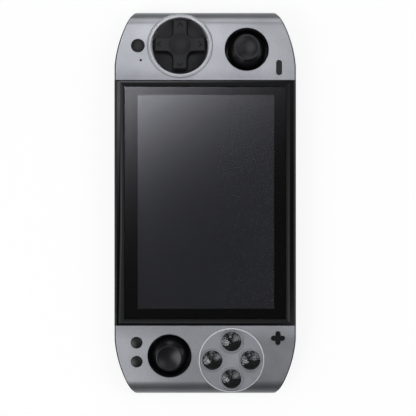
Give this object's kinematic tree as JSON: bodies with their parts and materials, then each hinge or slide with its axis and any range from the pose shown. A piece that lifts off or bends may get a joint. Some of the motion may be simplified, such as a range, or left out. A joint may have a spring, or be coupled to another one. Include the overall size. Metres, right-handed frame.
{
  "type": "handheld game console",
  "caption": "Handheld game console: a recessed wide screen between sloping metal end panels with a direction pad, thumb sticks and clear-capped domed buttons.",
  "frame": {"origin": "middle of the flat back, on the surface that the console lies on", "axes": "+X along the length towards the domed buttons, +Y towards the shoulder buttons, +Z out of the screen"},
  "size_m": [0.193, 0.0904, 0.0207],
  "materials": {
    "housing_plastic": "satin",
    "cover_plastic": "satin",
    "panel_metal": "satin",
    "bezel_black": "gloss",
    "screen_glass": "gloss",
    "foam": "matte",
    "display": "gloss",
    "clear_plastic": "gloss",
    "button_black": "gloss",
    "pad_black": "satin",
    "button_grey": "satin",
    "shoulder_plastic": "satin",
    "stick_rubber": "matte",
    "contact_rubber": "matte",
    "board": "satin",
    "switch_plastic": "satin",
    "gimbal_plastic": "satin",
    "steel": "satin",
    "battery_wrap": "satin",
    "cable": "gloss"
  },
  "bodies": {
    "console": {"rear_cover": "cover_plastic", "front_housing": "housing_plastic", "panel_left": "panel_metal", "panel_right": "panel_metal", "screen_bezel": "bezel_black", "cover_glass": "screen_glass", "lcd_gasket": "foam", "lcd_panel": "display", "dpad_ring": "clear_plastic", "action_disc": "clear_plastic", "stick_well_left": "pad_black", "stick_well_right": "pad_black", "stick_base_left": "switch_plastic", "stick_base_right": "switch_plastic", "dpad_mat": "contact_rubber", "action_mat": "contact_rubber", "key_board_left": "board", "key_board_right": "board", "push_switches_left": "switch_plastic", "push_switches_right": "switch_plastic", "main_board": "board", "battery": "battery_wrap", "speaker_left": "switch_plastic", "speaker_right": "switch_plastic", "microphone": "switch_plastic", "headphone_jack": "switch_plastic", "usb_socket": "steel", "hdmi_socket": "steel", "card_socket": "steel", "power_switch": "switch_plastic", "shoulder_pins": "steel", "case_screws": "steel", "board_screws": "steel", "flat_cables": "cable"},
    "pad_ball": {"dpad_pivot": "steel"},
    "direction_pad": {"dpad_cap": "pad_black"},
    "escape": {"escape_button": "button_grey"},
    "select": {"select_button": "button_grey"},
    "start": {"start_button": "button_grey"},
    "volume_down": {"volume_down_key": "button_grey"},
    "volume_up": {"volume_up_key": "button_grey"},
    "left_shoulder": {"shoulder_left": "shoulder_plastic"},
    "right_shoulder": {"shoulder_right": "shoulder_plastic"},
    "left_yoke": {"stick_yoke_left": "gimbal_plastic"},
    "left_stick": {"stick_lever_left": "gimbal_plastic", "stick_cap_left": "stick_rubber"},
    "right_yoke": {"stick_yoke_right": "gimbal_plastic"},
    "right_stick": {"stick_lever_right": "gimbal_plastic", "stick_cap_right": "stick_rubber"},
    "power": {"power_slider": "shoulder_plastic"},
    "button_up": {"action_core_up": "button_black", "action_cap_up": "clear_plastic"},
    "button_down": {"action_core_down": "button_black", "action_cap_down": "clear_plastic"},
    "button_left": {"action_core_left": "button_black", "action_cap_left": "clear_plastic"},
    "button_right": {"action_core_right": "button_black", "action_cap_right": "clear_plastic"}
  },
  "joints": [
    {"name": "pad_tilt_left_right", "type": "hinge", "parent": "console", "child": "pad_ball", "pos_m": [-0.07775, -0.0126, 0.00852], "axis": [0, 1, 0], "range_deg": [-3, 3], "stiffness_Nm_per_rad": 0.16},
    {"name": "pad_tilt_up_down", "type": "hinge", "parent": "pad_ball", "child": "direction_pad", "pos_m": [-0.07775, -0.0126, 0.00852], "axis": [0.9925, 0, 0.1219], "range_deg": [-3, 3], "stiffness_Nm_per_rad": 0.16},
    {"name": "press_up", "type": "slide", "parent": "console", "child": "button_up", "axis": [-0.1219, 0, -0.9925], "range_m": [0, 0.0012], "stiffness_N_per_m": 800},
    {"name": "press_down", "type": "slide", "parent": "console", "child": "button_down", "axis": [-0.1219, 0, -0.9925], "range_m": [0, 0.0012], "stiffness_N_per_m": 800},
    {"name": "press_left", "type": "slide", "parent": "console", "child": "button_left", "axis": [-0.1219, 0, -0.9925], "range_m": [0, 0.0012], "stiffness_N_per_m": 800},
    {"name": "press_right", "type": "slide", "parent": "console", "child": "button_right", "axis": [-0.1219, 0, -0.9925], "range_m": [0, 0.0012], "stiffness_N_per_m": 800},
    {"name": "press_escape", "type": "slide", "parent": "console", "child": "escape", "axis": [0.1219, 0, -0.9925], "range_m": [0, 0.0006], "stiffness_N_per_m": 1500},
    {"name": "press_select", "type": "slide", "parent": "console", "child": "select", "axis": [-0.1219, 0, -0.9925], "range_m": [0, 0.0006], "stiffness_N_per_m": 1500},
    {"name": "press_start", "type": "slide", "parent": "console", "child": "start", "axis": [-0.1219, 0, -0.9925], "range_m": [0, 0.0006], "stiffness_N_per_m": 1500},
    {"name": "press_volume_down", "type": "slide", "parent": "console", "child": "volume_down", "axis": [0.1219, 0, -0.9925], "range_m": [0, 0.0006], "stiffness_N_per_m": 1500},
    {"name": "press_volume_up", "type": "slide", "parent": "console", "child": "volume_up", "axis": [-0.1219, 0, -0.9925], "range_m": [0, 0.0006], "stiffness_N_per_m": 1500},
    {"name": "press_shoulder_left", "type": "hinge", "parent": "console", "child": "left_shoulder", "pos_m": [-0.0712, 0.0422, 0.00865], "axis": [0, 0, 1], "range_deg": [0, 3], "stiffness_Nm_per_rad": 0.4},
    {"name": "press_shoulder_right", "type": "hinge", "parent": "console", "child": "right_shoulder", "pos_m": [0.0712, 0.0422, 0.00865], "axis": [0, 0, -1], "range_deg": [0, 3], "stiffness_Nm_per_rad": 0.4},
    {"name": "left_stick_up_down", "type": "hinge", "parent": "console", "child": "left_yoke", "pos_m": [-0.07596, 0.02075, 0.00925], "axis": [0.9925, 0, 0.1219], "range_deg": [-18, 18], "stiffness_Nm_per_rad": 0.02},
    {"name": "left_stick_left_right", "type": "hinge", "parent": "left_yoke", "child": "left_stick", "pos_m": [-0.07596, 0.02075, 0.00925], "axis": [0, 1, 0], "range_deg": [-18, 18], "stiffness_Nm_per_rad": 0.02},
    {"name": "right_stick_up_down", "type": "hinge", "parent": "console", "child": "right_yoke", "pos_m": [0.07571, -0.0178, 0.00928], "axis": [0.9925, 0, -0.1219], "range_deg": [-18, 18], "stiffness_Nm_per_rad": 0.02},
    {"name": "right_stick_left_right", "type": "hinge", "parent": "right_yoke", "child": "right_stick", "pos_m": [0.07571, -0.0178, 0.00928], "axis": [0, 1, 0], "range_deg": [-18, 18], "stiffness_Nm_per_rad": 0.02},
    {"name": "power_slide", "type": "slide", "parent": "console", "child": "power", "axis": [1, 0, 0], "range_m": [0, 0.0025]}
  ]
}
